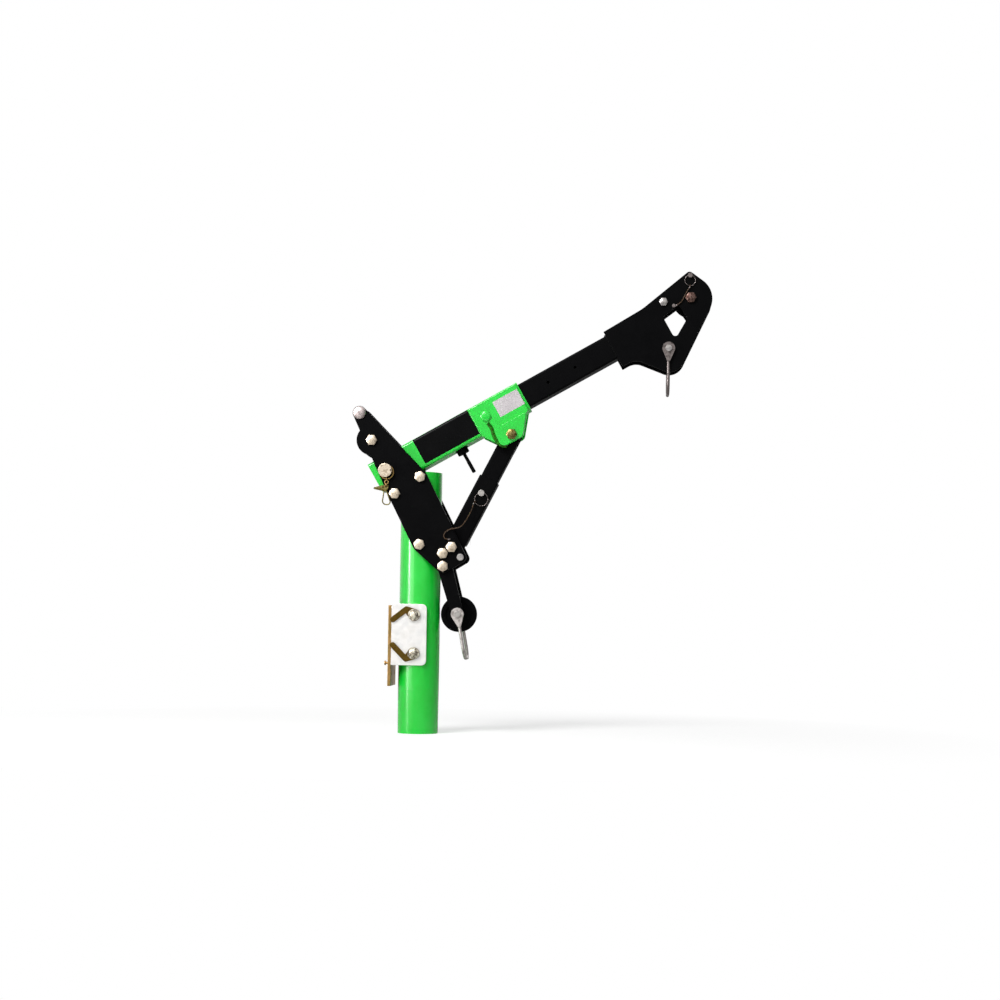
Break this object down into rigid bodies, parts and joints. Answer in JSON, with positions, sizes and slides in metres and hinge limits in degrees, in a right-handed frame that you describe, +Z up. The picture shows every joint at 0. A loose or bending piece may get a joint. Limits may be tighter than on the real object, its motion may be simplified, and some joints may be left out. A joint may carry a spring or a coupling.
{
  "type": "davit arm",
  "caption": "Upper mast and telescoping boom of a portable davit, with side plates, a telescoping strut, sheaves, bails, quick pins and a winch bracket.",
  "frame": {"origin": "centre of the mast's lower end, on the mast's axis", "axes": "+Z up the mast, +X towards the boom's head, +Y away from the side that the quick pins' heads are on"},
  "size_m": [0.8848, 0.156, 1.1588],
  "materials": {
    "green_paint": "gloss powder coat",
    "black_paint": "satin powder coat",
    "pale_zinc": "pale zinc plate",
    "bare_steel": "dull bright steel",
    "yellow_zinc": "yellow zinc plate",
    "bronze": "plain turned",
    "black_nylon": "matte",
    "lanyard_wire": "coated wire rope"
  },
  "bodies": {
    "mast": {"mast_tube": "green_paint", "side_plate_near": "black_paint", "side_plate_far": "black_paint", "plate_bolts": "pale_zinc", "plate_nuts": "pale_zinc", "rear_axle_bolt": "pale_zinc", "rear_axle_spacers": "bare_steel", "strut_foot_bolt": "pale_zinc", "strut_foot_spacers": "bare_steel", "strut_lanyard_tab": "black_paint", "tip_bolt": "bare_steel", "tip_spacer": "black_paint", "stop_pin": "bare_steel", "lower_arm_bars": "black_paint", "lower_axle": "bare_steel", "lower_axle_spacers": "bare_steel", "bracket_cheek_near": "pale_zinc", "bracket_cheek_far": "pale_zinc", "bracket_back_plate": "yellow_zinc", "bracket_bolts": "pale_zinc", "bracket_nuts": "pale_zinc", "bracket_arms": "yellow_zinc"},
    "boom_sleeve": {"sleeve_tube": "green_paint", "gusset_plates": "green_paint", "gusset_doublers": "green_paint", "strut_top_bolt": "bronze", "strut_top_nut": "bronze", "strut_top_spacers": "black_paint", "cross_pin": "green_paint", "clamp_boss": "black_paint"},
    "boom_inner": {"boom_inner_tube": "black_paint", "head_plate_near": "black_paint", "head_plate_far": "black_paint", "head_axle": "bronze", "head_axle_spacers": "bare_steel", "head_guard_bolt": "bare_steel", "head_guard_spacer": "bare_steel", "head_nuts": "pale_zinc", "keeper_anchor": "bare_steel", "head_bail_pin": "bare_steel", "keeper_lanyard": "lanyard_wire"},
    "strut_lower": {"strut_outer_tube": "black_paint", "strut_lanyard": "lanyard_wire"},
    "strut_upper": {"strut_inner_tube": "black_paint"},
    "head_sheave": {"head_sheave": "black_nylon", "head_bushing": "bronze"},
    "rear_sheave": {"rear_sheave": "black_nylon", "rear_bushing": "bronze"},
    "lower_sheave": {"lower_sheave": "black_nylon", "lower_bushing": "bronze"},
    "head_bail": {"head_bail": "bare_steel"},
    "lower_bail": {"lower_bail": "bare_steel"},
    "pivot_pin": {"pivot_pin": "pale_zinc", "pivot_pin_rings": "yellow_zinc", "linchpin": "yellow_zinc"},
    "strut_pin": {"strut_pin": "bare_steel", "strut_pin_ring": "bare_steel"},
    "keeper_pin": {"keeper_pin": "bare_steel", "keeper_pin_ring": "bare_steel"},
    "clamp_screw": {"clamp_screw": "black_paint"}
  },
  "joints": [
    {"name": "boom_luff", "type": "hinge", "parent": "mast", "child": "boom_sleeve", "pos_m": [-0.084, 0, 0.65], "axis": [0, -1, 0], "range_deg": [0, 22]},
    {"name": "strut_swing", "type": "hinge", "parent": "mast", "child": "strut_lower", "pos_m": [0.082, 0, 0.464], "axis": [0, -1, 0], "range_deg": [0, 14.85]},
    {"name": "strut_extend", "type": "slide", "parent": "strut_lower", "child": "strut_upper", "axis": [0.4514, 0, 0.8923], "range_m": [0, 0.0845]},
    {"name": "boom_extend", "type": "slide", "parent": "boom_sleeve", "child": "boom_inner", "axis": [0.866, 0, 0.5], "range_m": [-0.0762, 0]},
    {"name": "head_sheave_spin", "type": "hinge", "parent": "boom_inner", "child": "head_sheave", "pos_m": [0.66308, 0, 1.09403], "axis": [0, 1, 0], "continuous": true},
    {"name": "rear_sheave_spin", "type": "hinge", "parent": "mast", "child": "rear_sheave", "pos_m": [-0.12, 0, 0.725], "axis": [0, 1, 0], "continuous": true},
    {"name": "lower_sheave_spin", "type": "hinge", "parent": "mast", "child": "lower_sheave", "pos_m": [0.0984, 0, 0.2987], "axis": [0, 1, 0], "continuous": true},
    {"name": "head_bail_swing", "type": "hinge", "parent": "boom_inner", "child": "head_bail", "pos_m": [0.61008, 0, 0.96701], "axis": [0, -1, 0], "range_deg": [-55, 100]},
    {"name": "lower_bail_swing", "type": "hinge", "parent": "mast", "child": "lower_bail", "pos_m": [0.0984, 0, 0.2987], "axis": [0, -1, 0], "range_deg": [-28, 126]},
    {"name": "pivot_pin_pull", "type": "slide", "parent": "mast", "child": "pivot_pin", "axis": [0, -1, 0], "range_m": [0, 0.14]},
    {"name": "strut_pin_pull", "type": "slide", "parent": "strut_lower", "child": "strut_pin", "axis": [0, -1, 0], "range_m": [0, 0.06]},
    {"name": "keeper_pin_pull", "type": "slide", "parent": "boom_inner", "child": "keeper_pin", "axis": [0, -1, 0], "range_m": [0, 0.082]},
    {"name": "clamp_screw_turn", "type": "hinge", "parent": "boom_sleeve", "child": "clamp_screw", "pos_m": [0.10881, 0, 0.69204], "axis": [0.5, 0, -0.866], "range_deg": [0, 720]}
  ],
  "couplings": [
    {"joint": "strut_swing", "follows": "boom_luff", "ratio": 0.674},
    {"joint": "strut_extend", "follows": "boom_luff", "m_per_rad": 0.22}
  ]
}
